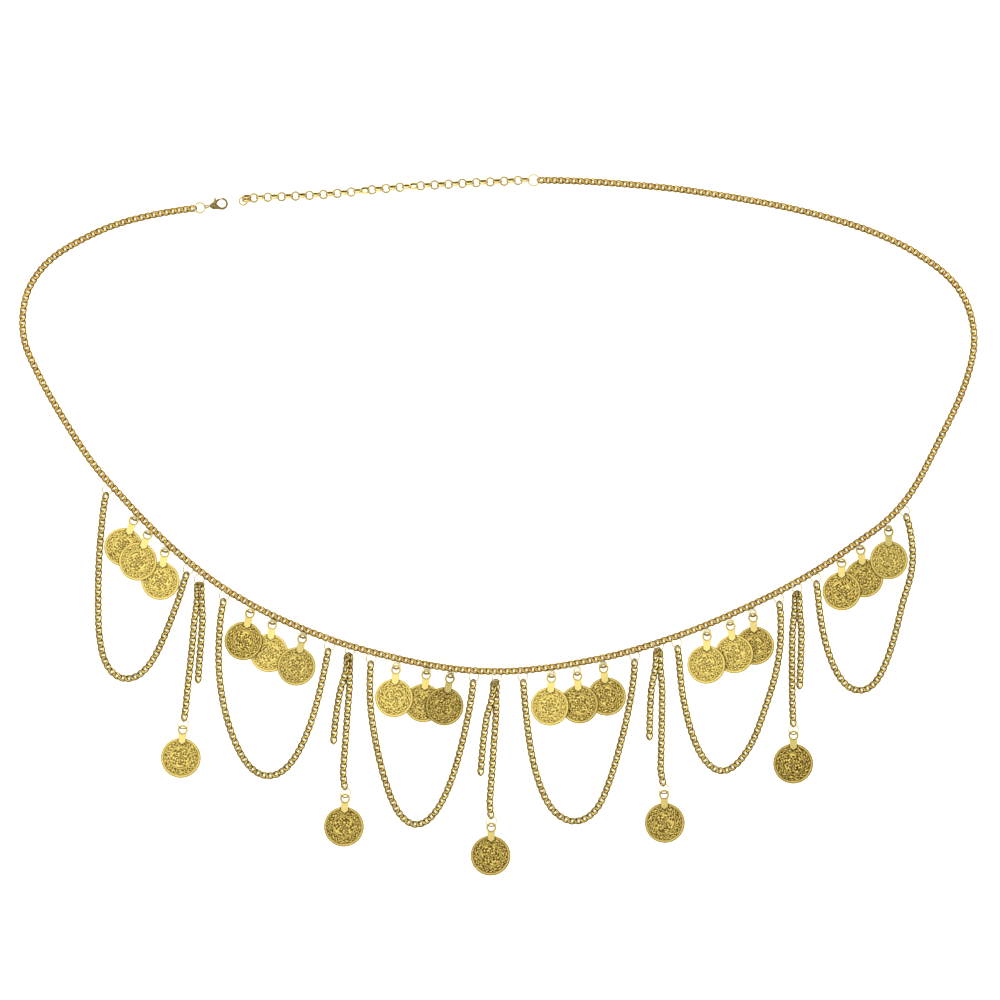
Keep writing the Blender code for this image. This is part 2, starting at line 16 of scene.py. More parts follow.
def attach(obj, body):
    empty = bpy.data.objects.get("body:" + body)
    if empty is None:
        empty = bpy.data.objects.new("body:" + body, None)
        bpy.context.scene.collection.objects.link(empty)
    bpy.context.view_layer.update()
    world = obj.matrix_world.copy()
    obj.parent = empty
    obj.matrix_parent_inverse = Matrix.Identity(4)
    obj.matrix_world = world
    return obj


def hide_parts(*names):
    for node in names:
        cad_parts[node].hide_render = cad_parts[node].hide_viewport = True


MM = 0.001

# Curb chain
LINK_PITCH = 3.25 * MM
LINK_WIRE = 1.3 * MM
LINK_WIRE_HEIGHT = 1.05 * MM
LINK_HALF_LENGTH = 2.205 * MM
LINK_HALF_WIDTH = 1.22 * MM
LINK_TWIST = math.radians(42)
LINK_HEIGHT = 1.12 * MM
LINK_ROLL = math.radians(2.5)
LINK_SWAY = math.radians(1.2)
LINK_TONES = (0.35, 0.95)
SMOOTHING_RUNS = 3
CURVE_STEPS = 12
TUBE_SIDES = 12

# Jump rings
RING_WIRE = 0.62 * MM
SWAG_RING_DIAMETER = 5.8 * MM
SWAG_RING_TOP = 0.1 * MM
SWAG_RING_LEAN = math.radians(17)
SWAG_RING_HEIGHT = 1.15 * MM
END_RING_DIAMETER = 6.2 * MM
EXTENDER_RING_DIAMETER = 6.4 * MM
CLASP_RING_WIRE = 1.0 * MM
EXTENDER_RING_WIRE = 0.75 * MM
END_RING_LEAN = math.radians(4)
COIN_RING_LEAN = math.radians(14)
COIN_RING_WIRE = 1.05 * MM
COIN_RING_HALF_WIDTH = 1.75 * MM
COIN_RING_REACH = 0.45 * MM
COIN_RING_RISE = 0.5 * MM
RING_TONES = (0.4, 0.9)
COIN_RING_TONES = (0.8, 1.1)

# Folds of the drops
FOLD_STEPS = 9
FOLD_TOP = 2.8 * MM
FOLD_LENGTH = 18.0 * MM
FOLD_PINCH = 0.52
FOLD_LIFT = 1.1 * MM

UP = np.array([0.0, 1.0])

# Coins and their tabs
GROUP_COIN_DIAMETER = 19.5 * MM
DROP_COIN_DIAMETER = 20.2 * MM
COIN_THICKNESS = 1.2 * MM
COIN_FIELD = 0.9 * MM
COIN_STEPS = 144
COIN_RELIEF = 0.26 * MM
BACK_FIELD = 0.15 * MM
BACK_RELIEF = 0.12 * MM
EYE_TO_COIN = 14.3 * MM
EYE_DIAMETER = 5.3 * MM
EYE_HOLE = 3.45 * MM
EYE_STEPS = 24
TAB_WIDTH = 3.7 * MM
TAB_THICKNESS = 0.9 * MM
TAB_LOW = 0.75 * MM
TAB_LAP = 3.2 * MM
TAB_POINT = 1.3 * MM
TAB_ROUNDING = 0.16 * MM
FLOOR_CLEARANCE = 0.02 * MM
COIN_RING_CENTRE = 0.3 * MM
COIN_CLEARANCE = 2.1 * MM
HINGE_WIRE = 0.7 * MM

# Extender of round links
ROLO_DIAMETER = 4.95 * MM
ROLO_ACROSS = 0.85 * MM
ROLO_BAND = 1.5 * MM
ROLO_FIRST_X = -124.2 * MM
ROLO_STEP = 3.53 * MM
ROLO_LAST = 39
ROLO_HALF_TURNED = (16, 23)
ROLO_STANDING = math.radians(-69)
ROLO_TURNED = math.radians(-50)
ROLO_SWAY = math.radians(2)
ROLO_HEADING = math.radians(4)
ROLO_MIDDLE_HEIGHT = 1.7 * MM
ROLO_TONES = (0.3, 0.9)
DOUBLED_LINK_TONE = -0.3
DOUBLED_LINK_SPOTS = [-0.75 * MM, 0.75 * MM]

# Clasp
CLASP_TURN = math.radians(11)
CLASP_MIDDLE_HEIGHT = 0.92 * MM
CLASP_HOOK_RADIUS = 2.52 * MM
CLASP_HOOK_ARC = (-128, 82)
CLASP_HOOK_STEPS = 19
CLASP_HOOK_WIDTHS = (0.62, 0.46)
CLASP_TIP_ANGLE = 86
CLASP_TIP_WIDTH = 0.25
CLASP_EYE_X = -7.9 * MM
CLASP_EYE_SIZE = (1.15 * MM, 0.75 * MM)
CLASP_EYE_WIRE = 0.9 * MM
CLASP_EYE_LEAN = math.radians(35)

# Waist chain from the clasp round to the extender: x, y
WAIST_ROUTE = [
    (-155.2, 160.8), (-177.0, 157.0), (-197.5, 151.3), (-217.0, 141.8), (-228.0, 134.3),
    (-235.5, 125.5), (-240.0, 116.5), (-241.80, 105.0), (-241.0, 93.5), (-237.2, 83.5),
    (-226.5, 63.0), (-208.0, 33.7), (-192.0, 15.0), (-177.0, -1.0), (-161.5, -15.5),
    (-141.5, -31.0), (-121.0, -43.0), (-101.0, -52.2), (-80.5, -60.0), (-60.0, -65.8),
    (-40.0, -70.4), (-19.5, -73.6), (1.0, -74.6), (21.0, -73.2), (41.5, -70.0), (62.0, -65.6),
    (82.0, -59.6), (102.5, -52.2), (122.5, -43.6), (143.0, -33.7), (163.5, -22.0), (183.5, -8.2),
    (194.0, -0.8), (201.5, 6.2), (207.2, 12.8), (214.2, 23.7), (224.0, 43.0), (233.9, 63.3),
    (239.8, 80.6), (241.82, 95.0), (239.5, 108.0), (234.3, 119.3), (224.5, 129.5), (214.0, 136.7),
    (204.0, 142.5), (183.5, 151.0), (153.0, 159.6), (122.5, 165.6), (92.5, 170.2), (62.0, 173.1),
    (41.5, 174.4), (21.2, 175.0),
]

# Swags from their left end to their right end: x, y
SWAG_ROUTES = {
    "swag_1": [
        (-199.5, 17.0), (-201.2, 2.5), (-202.9, -18.0), (-203.3, -38.5), (-203.0, -53.5),
        (-201.5, -64.5), (-198.5, -73.0), (-193.3, -77.8), (-187.5, -79.0), (-182.0, -76.5),
        (-176.0, -69.7), (-171.0, -59.8), (-166.0, -47.5), (-161.3, -34.5), (-158.0, -23.2),
    ],
    "swag_2": [
        (-139.5, -36.5), (-141.3, -48.5), (-142.2, -66.0), (-141.3, -81.5), (-138.5, -96.5),
        (-133.5, -111.3), (-126.5, -123.3), (-117.5, -128.5), (-108.5, -124.8), (-101.0, -114.5),
        (-94.7, -99.0), (-90.0, -81.5), (-87.4, -68.5), (-85.7, -61.0),
    ],
    "swag_3": [
        (-65.0, -69.0), (-65.3, -89.0), (-63.0, -107.0), (-58.5, -127.0), (-52.0, -144.7),
        (-42.5, -153.8), (-33.0, -147.7), (-25.5, -134.0), (-20.0, -117.0), (-15.3, -96.5),
        (-13.2, -84.0), (-12.6, -79.0),
    ],
    "swag_4": [
        (12.5, -78.5), (13.5, -91.5), (16.0, -112.0), (20.0, -129.5), (27.2, -145.0),
        (38.5, -151.5), (49.5, -145.5), (56.7, -129.5), (62.2, -110.5), (66.6, -91.5),
        (68.8, -76.5), (69.7, -68.5),
    ],
    "swag_5": [
        (91.5, -62.5), (92.5, -79.0), (95.5, -96.5), (100.5, -112.5), (107.0, -122.7),
        (113.5, -126.4), (120.8, -122.3), (129.0, -110.5), (135.2, -94.0), (140.2, -78.0),
        (143.2, -61.0), (143.2, -39.0),
    ],
    "swag_6": [
        (161.7, -28.0), (162.7, -41.0), (165.5, -58.0), (170.3, -72.5), (176.3, -82.0),
        (183.5, -85.5), (191.0, -81.5), (197.0, -69.8), (201.8, -54.5), (205.5, -38.5),
        (209.0, -28.0), (210.6, -18.0), (209.5, -5.0), (206.8, 6.5),
    ],
}

# Drops, one chain folded over its ring: the ring's x and how far it is pushed up under the waist chain,
# the free leg and the leg that carries the coin, from the fold down
DROP_ROUTES = {
    "drop_chain_1": {
        "ring": (-151.6, -0.6),
        "free": [
            (-149.8, -38.5), (-150.2, -48.5), (-151.0, -58.5), (-151.8, -68.5), (-152.5, -78.0),
        ],
        "coin": [
            (-154.0, -38.5), (-154.5, -48.5), (-155.5, -61.0), (-156.9, -74.0), (-158.3, -87.0),
            (-159.2, -98.5),
        ],
    },
    "drop_chain_2": {
        "ring": (-75.6, 1.0),
        "free": [(-77.9, -72.5), (-79.5, -79.5), (-81.0, -87.5), (-82.7, -98.0), (-83.7, -109.0)],
        "coin": [
            (-74.9, -72.5), (-75.6, -82.5), (-76.4, -91.5), (-77.5, -107.0), (-78.6, -121.0),
            (-79.4, -133.0),
        ],
    },
    "drop_chain_3": {
        "ring": (-0.8, 0.0),
        "free": [(-3.4, -84.0), (-4.6, -89.5), (-5.7, -96.0), (-7.6, -108.5), (-9.0, -125.0)],
        "coin": [
            (-0.4, -84.0), (-1.0, -94.0), (-1.7, -102.0), (-2.7, -117.0), (-4.0, -135.0),
            (-5.0, -148.0),
        ],
    },
    "drop_chain_4": {
        "ring": (81.8, 1.5),
        "free": [(78.8, -71.5), (77.7, -82.5), (77.0, -94.0), (76.7, -107.0)],
        "coin": [(83.1, -71.5), (83.1, -89.0), (82.7, -112.0), (82.1, -131.0)],
    },
    "drop_chain_5": {
        "ring": (151.7, 0.0),
        "free": [(153.8, -43.5), (153.8, -60.0), (153.0, -81.0)],
        "coin": [(149.5, -43.5), (149.1, -63.5), (149.1, -84.0), (149.6, -100.5)],
    },
}

# Coins in groups: place of the coin's middle, how far its foot swings left and its side tilt, in degrees,
# how high it lies on its neighbours, in millimetres, and how pale it is, 0 olive to 1 pale
COIN_GROUPS = {
    "coin_1": [
        (-190.4, -11.4, 21.0, 0.0, 0.0, 0.8),
        (-183.0, -18.7, 20.0, 0.0, 1.6, 0.9),
        (-171.7, -28.5, 9.0, 0.0, 0.0, 1.1),
    ],
    "coin_2": [
        (-129.5, -59.0, 13.5, -7.5, 0.0, 0.3),
        (-116.5, -65.2, 6.5, 0.0, 0.0, 1.2),
        (-102.5, -72.0, 11.5, 7.5, 0.0, 0.8),
    ],
    "coin_3": [
        (-53.0, -88.0, 4.0, -7.5, 0.0, 1.2),
        (-38.2, -90.6, 6.0, 0.0, 0.0, 0.6),
        (-27.3, -92.2, 10.5, 9.5, 0.0, 0.35),
    ],
    "coin_4": [
        (26.0, -92.3, 3.5, -7.5, 0.0, 1.0),
        (41.0, -91.2, -3.5, -8.5, 0.0, 0.5),
        (55.0, -87.3, -6.5, 0.0, 0.0, 0.45),
    ],
    "coin_5": [
        (105.5, -71.0, 1.5, -8.5, 0.0, 0.9),
        (119.7, -65.7, -7.5, -9.5, 0.0, 0.9),
        (130.3, -61.5, -4.0, 0.0, 0.0, 0.5),
    ],
    "coin_6": [
        (174.2, -33.8, 0.0, -9.0, 0.0, 0.45),
        (185.8, -27.2, -7.5, 0.0, 0.0, 0.5),
        (198.3, -18.0, -1.0, 8.0, 0.0, 1.25),
    ],
}

# Coins that end the drops: place of the coin's middle, how far its foot swings left, and how pale it is
DROP_COINS = {
    "drop_coin_1": (-161.3, -118.5, 4.0, 0.7),
    "drop_coin_2": (-78.5, -153.4, 2.5, 0.35),
    "drop_coin_3": (-4.0, -168.09, 1.5, 0.25),
    "drop_coin_4": (84.5, -151.5, -1.5, 0.35),
    "drop_coin_5": (149.7, -121.4, 0.5, 0.15),
}

# Extender, seen from its free end to the ring on the waist chain: x, y
EXTENDER_ROUTE = [
    (-131.0, 165.2), (-124.2, 166.0), (-110.4, 166.5), (-96.0, 167.2), (-81.5, 168.2), (-64.7, 170.0),
    (-43.5, 171.8), (-22.6, 173.0), (4.8, 174.5), (17.8, 175.2),
]
END_LINK_AT = (-129.6, 164.3)

CLASP_RING_AT = (-151.7, 161.0)
EXTENDER_RING_AT = (17.9, 174.92)
CLASP_LOOP_AT = (-140.4, 163.0)

# Clasp body from its tail to the hook: x, y, half width, half height, the loop's middle at 0, 0
CLASP_BODY = [
    (-6.5, 0.0, 0.35, 0.35), (-6.2, 0.0, 0.75, 0.65), (-5.6, 0.0, 1.2, 0.8), (-4.8, -0.15, 1.7, 0.88),
    (-3.9, -0.5, 1.75, 0.88), (-3.0, -1.1, 1.2, 0.78),
]

# Swivel collar at the clasp's tail, in the same way
CLASP_COLLAR = [
    (-7.1, 0.0, 0.3, 0.3), (-6.95, 0.0, 0.6, 0.6), (-6.5, 0.0, 0.6, 0.6), (-6.3, 0.0, 0.4, 0.4),
]

# Gate of the clasp from its eye to its tip, and its thumb nub, in the same way
CLASP_GATE = [
    (-5.0, 0.35, 0.4, 0.35), (-4.4, 0.65, 0.9, 0.7), (-3.4, 1.15, 1.05, 0.74), (-2.5, 1.75, 0.72, 0.6),
    (-1.5, 2.2, 0.5, 0.48), (-0.5, 2.45, 0.42, 0.42), (0.0, 2.5, 0.25, 0.25),
]
CLASP_NUB = [
    (-3.3, 1.7, 0.6, 0.5), (-3.15, 2.5, 0.5, 0.45), (-2.95, 3.3, 0.42, 0.4),
    (-2.85, 3.75, 0.25, 0.28),
]


def smooth_route(points, step):
    """Evenly spaced points along a smooth curve through the route's own points."""
    knots = np.array(points, float) * MM
    ends = np.vstack([2 * knots[0] - knots[1], knots, 2 * knots[-1] - knots[-2]])
    fine = []
    for a, b, c, d in zip(ends, ends[1:], ends[2:], ends[3:]):
        for t in np.linspace(0, 1, CURVE_STEPS, endpoint=False):
            bend = (2 * a - 5 * b + 4 * c - d) * t**2 + (3 * b - a - 3 * c + d) * t**3
            fine.append(0.5 * (2 * b + (c - a) * t + bend))
    fine = even_points(np.vstack([fine, knots[-1]]), step)
    for _ in range(SMOOTHING_RUNS):
        fine[1:-1] = (fine[:-2] + 2 * fine[1:-1] + fine[2:]) / 4
    return even_points(fine, step)


def even_points(line, step):
    lengths = np.concatenate([[0], np.cumsum(np.linalg.norm(np.diff(line, axis=0), axis=1))])
    count = max(2, round(lengths[-1] / step))
    at = np.linspace(0, lengths[-1], count + 1)
    return np.column_stack([np.interp(at, lengths, line[:, i]) for i in range(2)])


def nearest_on(line, point):
    """The nearest point on a line of points, and the unit direction from there to the given point."""
    starts, runs = line[:-1], np.diff(line, axis=0)
    share = np.clip(((point - starts) * runs).sum(1) / (runs**2).sum(1), 0, 1)
    feet = starts + runs * share[:, None]
    foot = feet[np.argmin(np.linalg.norm(feet - point, axis=1))]
    return foot, (point - foot) / np.linalg.norm(point - foot)


def cross_line(line, start, direction):
    """Where a ray from start first meets a line of points, and the cosine of its slant there."""
    side = np.array([-direction[1], direction[0]])
    across = (line - start) @ side
    along = (line - start) @ direction
    hits = []
    for i in np.flatnonzero(across[:-1] * across[1:] <= 0):
        share = across[i] / (across[i] - across[i + 1])
        run = line[i + 1] - line[i]
        hits.append((along[i] + share * (along[i + 1] - along[i]), abs(run @ side) / np.linalg.norm(run)))
    distance, slant = min(hit for hit in hits if hit[0] > 0)
    return start + direction * distance, slant


def from_ring(line, centre, reach):
    """The line, its start moved to a given distance from a ring's middle."""
    line = line[np.linalg.norm(line - centre, axis=1) > reach + LINK_PITCH]
    away = (line[0] - centre) / np.linalg.norm(line[0] - centre)
    return even_points(np.vstack([centre + away * reach, line]), LINK_PITCH)


def ease(values, low, high):
    share = np.clip((values - low) / (high - low), 0, 1)
    return share * share * (3 - 2 * share)


def ridge(values, middle, half_width):
    """1 on a line, falling smoothly to 0 at half_width from it."""
    return 1 - ease(np.abs(values - middle), 0, half_width)


def points_of(mesh):
    flat = np.empty(len(mesh.vertices) * 3)
    mesh.vertices.foreach_get("co", flat)
    return flat.reshape(-1, 3)


def soften(mesh, sharpest):
    """Smooth shading, broken at edges sharper than so many degrees."""
    mesh.shade_smooth()
    mesh.set_sharp_from_angle(angle=math.radians(sharpest))
    return mesh


def mesh_of(shape, sharpest=48):
    bmesh.ops.remove_doubles(shape, verts=shape.verts[:], dist=0.002 * MM)
    bmesh.ops.recalc_face_normals(shape, faces=shape.faces[:])
    mesh = bpy.data.meshes.new("shape")
    shape.to_mesh(mesh)
    shape.free()
    return soften(mesh, sharpest)


def wire_ring(half_length, half_width, across, up, steps, sides, twist=0.0):
    """An oval ring of wire, long along x, its ends twisted about x in opposite ways.

    Also three rows with a value for each point: how far out in the wire, how high, and how near an end.
    """
    shape = bmesh.new()
    section = Matrix.Translation((1, 0, 0)) @ Matrix.Rotation(math.pi / 2, 4, "X")
    turn = Matrix.Rotation(math.pi / sides, 4, "Z")
    bmesh.ops.create_circle(shape, segments=sides, radius=0.1, matrix=section @ turn)
    bmesh.ops.spin(
        shape, geom=shape.verts[:] + shape.edges[:], cent=(0, 0, 0), axis=(0, 0, 1),
        angle=math.tau, steps=steps, use_merge=True,
    )
    bmesh.ops.remove_doubles(shape, verts=shape.verts[:], dist=0.001)
    places = []
    for vert in shape.verts:
        angle = math.atan2(vert.co.y, vert.co.x)
        out = (math.hypot(vert.co.x, vert.co.y) - 1) * 10
        high = vert.co.z * 10
        middle = Vector((half_length * math.cos(angle), half_width * math.sin(angle), high * up / 2))
        normal = Vector((half_width * math.cos(angle), half_length * math.sin(angle), 0)).normalized()
        roll = Matrix.Rotation(twist * middle.x / half_length, 3, "X")
        vert.co = roll @ (middle + normal * out * across / 2)
        places.append((out, vert.co.z * 2 / up, abs(math.cos(angle))))
    bmesh.ops.recalc_face_normals(shape, faces=shape.faces[:])
    mesh = bpy.data.meshes.new("ring")
    shape.to_mesh(mesh)
    shape.free()
    return soften(mesh, 180), np.array(places).T


def wire_shade(places, outer, inner, outer_end=None, inner_end=None, start=0.2):
    """Painted shade for a ring's points, 0 bright to 1 dark: on its outer and inner side, at its ends too,
    and most below; the tops stay bright as a painted highlight.
    """
    out, level, end = places
    at_end = ease(end, 0.5, 0.95)
    outer = outer + (0 if outer_end is None else (outer_end - outer) * at_end)
    inner = inner + (0 if inner_end is None else (inner_end - inner) * at_end)
    sides = outer * ease(out, start, 1.0) + inner * ease(-out, 0.2, 1.0)
    return np.clip(0.04 + sides + 1 - ease(level, -0.3, 1.0), 0, 1)


def tube(rows, height):
    """A rounded body through rows of x, y, half width and half height in millimetres, both ends closed."""
    rows = np.array(rows, float) * MM
    runs = np.gradient(rows[:, :2], axis=0)
    shape = bmesh.new()
    loops = []
    for (x, y, wide, tall), run in zip(rows, runs):
        along = Vector((*run, 0)).normalized()
        side = Vector((-along.y, along.x, 0))
        section = Matrix((side * wide, Vector((0, 0, tall)), along)).transposed().to_4x4()
        at = Matrix.Translation((x, y, height)) @ section
        corners = bmesh.ops.create_circle(shape, segments=TUBE_SIDES, radius=1, matrix=at)["verts"]
        loops.append([edge for edge in shape.edges if all(vert in corners for vert in edge.verts)])
    for first, second in zip(loops, loops[1:]):
        bmesh.ops.bridge_loops(shape, edges=first + second)
    for end in (loops[0], loops[-1]):
        bmesh.ops.contextual_create(shape, geom=end)
    return mesh_of(shape)


def assemble(name, pieces):
    """One mesh from rows of a shape, its place, its painted shade and patina for each point, its tone and
    its finish.
    """
    whole = bmesh.new()
    shade_and_patina, tone, finish = [], [], []
    for mesh, at, shades_and_patina, paleness, number in pieces:
        placed = mesh.copy()
        placed.transform(at)
        whole.from_mesh(placed)
        shade_and_patina.append(shades_and_patina)
        tone.append(np.full(len(mesh.vertices), paleness))
        finish.append(np.full(len(mesh.polygons), number))
        bpy.data.meshes.remove(placed)
    joined = bpy.data.meshes.new(name)
    whole.to_mesh(joined)
    whole.free()
    # The painted shade and patina, and the tone, go to the mesh as point attributes
    for label, values in (("shade_and_patina", shade_and_patina), ("tone", tone)):
        layer = joined.attributes.new(label, "FLOAT", "POINT")
        layer.data.foreach_set("value", np.concatenate(values).astype(np.float32))
    joined.polygons.foreach_set("material_index", np.concatenate(finish).astype(np.int32))
    return joined


def put(name, mesh, finishes, body, node):
    """Adds a finished piece that stands for a node of the frame."""
    for finish in finishes:
        mesh.materials.append(finish)
    piece = bpy.data.objects.new(name, mesh)
    bpy.context.scene.collection.objects.link(piece)
    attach(piece, body)
    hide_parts(node)


# Finishes

PATCHES_PER_METRE = 230.0
SPECKLES_PER_METRE = 1500.0
SPECKLE_WEAR = 0.5
PATCHY_DULLNESS = 0.4
GRAINS_PER_METRE = 2600.0
GRAIN_STRENGTH = 0.35
GRAIN_DEPTH = 0.05 * MM


def node(tree, kind, **settings):
    made = tree.nodes.new(kind)
    for name, value in settings.items():
        setattr(made, name, value)
    return made


def attribute(tree, name):
    return node(tree, "ShaderNodeAttribute", attribute_name=name).outputs["Fac"]


def noise(tree, scale, detail):
    """Cloudy variation on the piece's own coordinates, scale in spots per metre."""
    place = node(tree, "ShaderNodeTexCoord").outputs["Object"]
    cloud = node(tree, "ShaderNodeTexNoise")
    cloud.inputs["Scale"].default_value = scale
    cloud.inputs["Detail"].default_value = detail
    tree.links.new(place, cloud.inputs["Vector"])
    return cloud.outputs["Fac"]


def maths(tree, operation, first, second, clamp=False):
    made = node(tree, "ShaderNodeMath", operation=operation, use_clamp=clamp)
    for socket, value in zip(made.inputs, (first, second)):
        if isinstance(value, (int, float)):
            socket.default_value = value
        else:
            tree.links.new(value, socket)
    return made.outputs[0]


def ramp(tree, factor, stops):
    """Colours along a factor: rows of place, then linear red, green, blue."""
    made = node(tree, "ShaderNodeValToRGB")
    band = made.color_ramp
    while len(band.elements) < len(stops):
        band.elements.new(0.5)
    for element, (place, *colour) in zip(band.elements, stops):
        element.position = place
        element.color = (*colour, 1.0)
    tree.links.new(factor, made.inputs["Fac"])
    return made.outputs["Color"]


def blend(tree, factor, first, second):
    """A mix of two colours; a colour mix has its own sockets, numbered 6 and 7, and its own output."""
    made = node(tree, "ShaderNodeMix", data_type="RGBA")
    tree.links.new(factor, made.inputs[0])
    tree.links.new(first, made.inputs[6])
    tree.links.new(second, made.inputs[7])
    return made.outputs[2]


def spread(tree, value, low, high):
    made = node(tree, "ShaderNodeMapRange")
    made.inputs["To Min"].default_value = low
    made.inputs["To Max"].default_value = high
    tree.links.new(value, made.inputs["Value"])
    return made.outputs["Result"]


def shaded_worn_metal(name, bright, stained, smooth, rough):
    """Plated metal: bright and stained colours from the painted highlight at 0 to the painted shade and
    patina at 1, cloudy patches, fine grain.
    """
    material = bpy.data.materials.new(name)
    material.use_nodes = True
    tree = material.node_tree
    shader = tree.nodes["Principled BSDF"]
    shader.inputs["Metallic"].default_value = 1.0
    patches = noise(tree, PATCHES_PER_METRE, 3.0)
    speckle = maths(tree, "SUBTRACT", noise(tree, SPECKLES_PER_METRE, 2.0), 0.5)
    # Painted shade and patina, with speckles of wear
    shade_and_speckle = maths(tree, "ADD", attribute(tree, "shade_and_patina"), maths(tree, "MULTIPLY", speckle, SPECKLE_WEAR))
    open_metal = ramp(tree, shade_and_speckle, bright)
    stain = ramp(tree, shade_and_speckle, stained)
    cloudy = maths(tree, "SUBTRACT", patches, 0.5)
    paleness = maths(tree, "ADD", attribute(tree, "tone"), cloudy, clamp=True)
    tree.links.new(blend(tree, paleness, stain, open_metal), shader.inputs["Base Color"])
    from_shade_and_speckle = maths(tree, "MULTIPLY", shade_and_speckle, 1 - PATCHY_DULLNESS)
    dullness = maths(tree, "ADD", from_shade_and_speckle, maths(tree, "MULTIPLY", patches, PATCHY_DULLNESS))
    tree.links.new(spread(tree, dullness, smooth, rough), shader.inputs["Roughness"])
    bump = node(tree, "ShaderNodeBump")
    bump.inputs["Strength"].default_value = GRAIN_STRENGTH
    bump.inputs["Distance"].default_value = GRAIN_DEPTH
    tree.links.new(noise(tree, GRAINS_PER_METRE, 3.0), bump.inputs["Height"])
    tree.links.new(bump.outputs["Normal"], shader.inputs["Normal"])
    return material


def make_finishes():
    # Each ramp runs from the painted highlight and open metal at 0 to the painted shade and patina at 1
    return {
        "waist_gold": shaded_worn_metal(
            "waist_chain_gold",
            [
                (0.0, 1.0, 0.88, 0.42), (0.35, 0.95, 0.69, 0.165), (0.75, 0.26, 0.155, 0.025),
                (1.0, 0.06, 0.032, 0.006),
            ],
            [
                (0.0, 1.0, 0.71, 0.24), (0.35, 0.76, 0.45, 0.09), (0.75, 0.17, 0.085, 0.015),
                (1.0, 0.045, 0.02, 0.005),
            ],
            0.24, 0.42,
        ),
        "swag_gold": shaded_worn_metal(
            "swag_chain_gold",
            [
                (0.0, 1.0, 0.92, 0.52), (0.35, 0.90, 0.68, 0.175), (0.75, 0.20, 0.135, 0.024),
                (1.0, 0.04, 0.026, 0.006),
            ],
            [
                (0.0, 1.0, 0.80, 0.32), (0.35, 0.64, 0.44, 0.095), (0.75, 0.12, 0.08, 0.015),
                (1.0, 0.03, 0.018, 0.005),
            ],
            0.24, 0.42,
        ),
        "ring_gold": shaded_worn_metal(
            "jump_ring_gold",
            [(0.0, 0.90, 0.84, 0.58), (0.5, 0.62, 0.54, 0.30), (1.0, 0.30, 0.19, 0.06)],
            [(0.0, 0.70, 0.62, 0.38), (0.5, 0.38, 0.31, 0.15), (1.0, 0.20, 0.12, 0.035)],
            0.22, 0.38,
        ),
        "coin_gold": shaded_worn_metal(
            "struck_coin_gold",
            [
                (0.0, 0.79, 0.635, 0.195), (0.35, 0.58, 0.445, 0.115), (0.7, 0.33, 0.24, 0.055),
                (1.0, 0.13, 0.088, 0.022),
            ],
            [
                (0.0, 0.78, 0.575, 0.14), (0.35, 0.30, 0.205, 0.042), (0.7, 0.07, 0.046, 0.01),
                (1.0, 0.02, 0.013, 0.004),
            ],
            0.28, 0.44,
        ),
        "extender_gold": shaded_worn_metal(
            "extender_gold",
            [
                (0.0, 0.95, 0.80, 0.40), (0.4, 0.58, 0.44, 0.14), (0.75, 0.14, 0.105, 0.02),
                (1.0, 0.05, 0.034, 0.008),
            ],
            [
                (0.0, 0.80, 0.60, 0.24), (0.4, 0.42, 0.29, 0.08), (0.75, 0.10, 0.07, 0.015),
                (1.0, 0.035, 0.02, 0.006),
            ],
            0.24, 0.42,
        ),
        "tab_gold": shaded_worn_metal(
            "tab_gold",
            [(0.0, 0.60, 0.495, 0.165), (0.5, 0.44, 0.34, 0.10), (1.0, 0.16, 0.11, 0.03)],
            [(0.0, 0.48, 0.36, 0.105), (0.5, 0.30, 0.21, 0.055), (1.0, 0.10, 0.065, 0.02)],
            0.22, 0.36,
        ),
        "clasp_bronze": shaded_worn_metal(
            "clasp_bronze",
            [(0.0, 0.34, 0.26, 0.11), (0.5, 0.17, 0.125, 0.045), (1.0, 0.05, 0.035, 0.012)],
            [(0.0, 0.20, 0.145, 0.055), (0.5, 0.10, 0.07, 0.024), (1.0, 0.03, 0.022, 0.008)],
            0.26, 0.42,
        ),
    }


# Chains


def lay_links(link, line, chance, lifts=0.0):
    """Curb links along a line, each one turned a little its own way, and lifted off the table by lifts."""
    runs = np.gradient(line, axis=0)
    link, places = link
    # Painted shade on the links: dark outer flanks and lower strands, bright tops as a painted highlight
    shade = wire_shade(places, outer=1.08, inner=0.1, outer_end=0.8, inner_end=0.3, start=-0.36)
    pieces = []
    for (x, y), run, lift in zip(line, runs, np.broadcast_to(lifts, len(line))):
        heading = math.atan2(run[1], run[0]) + chance.normal(0, LINK_SWAY)
        roll = chance.normal(0, LINK_ROLL)
        at = Matrix.Translation((x, y, LINK_HEIGHT + lift)) @ Matrix.Rotation(heading, 4, "Z")
        at = at @ Matrix.Rotation(roll, 4, "X")
        pieces.append((link, at, shade, chance.uniform(*LINK_TONES), 0))
    return pieces


def inner_reach(diameter):
    """How far from a ring's middle the middle of the link that hangs in it lies."""
    return diameter / 2 - RING_WIRE + LINK_HALF_LENGTH - LINK_WIRE / 2


def jump_ring(diameter, place, lean, turn, tone, wire=RING_WIRE, flanks=0.5):
    half = (diameter - wire) / 2
    ring, places = wire_ring(half, half, wire, wire, 28, 8)
    at = Matrix.Translation(place) @ Matrix.Rotation(turn, 4, "Z") @ Matrix.Rotation(lean, 4, "Y")
    return ring, at, wire_shade(places, flanks, flanks), tone, 0


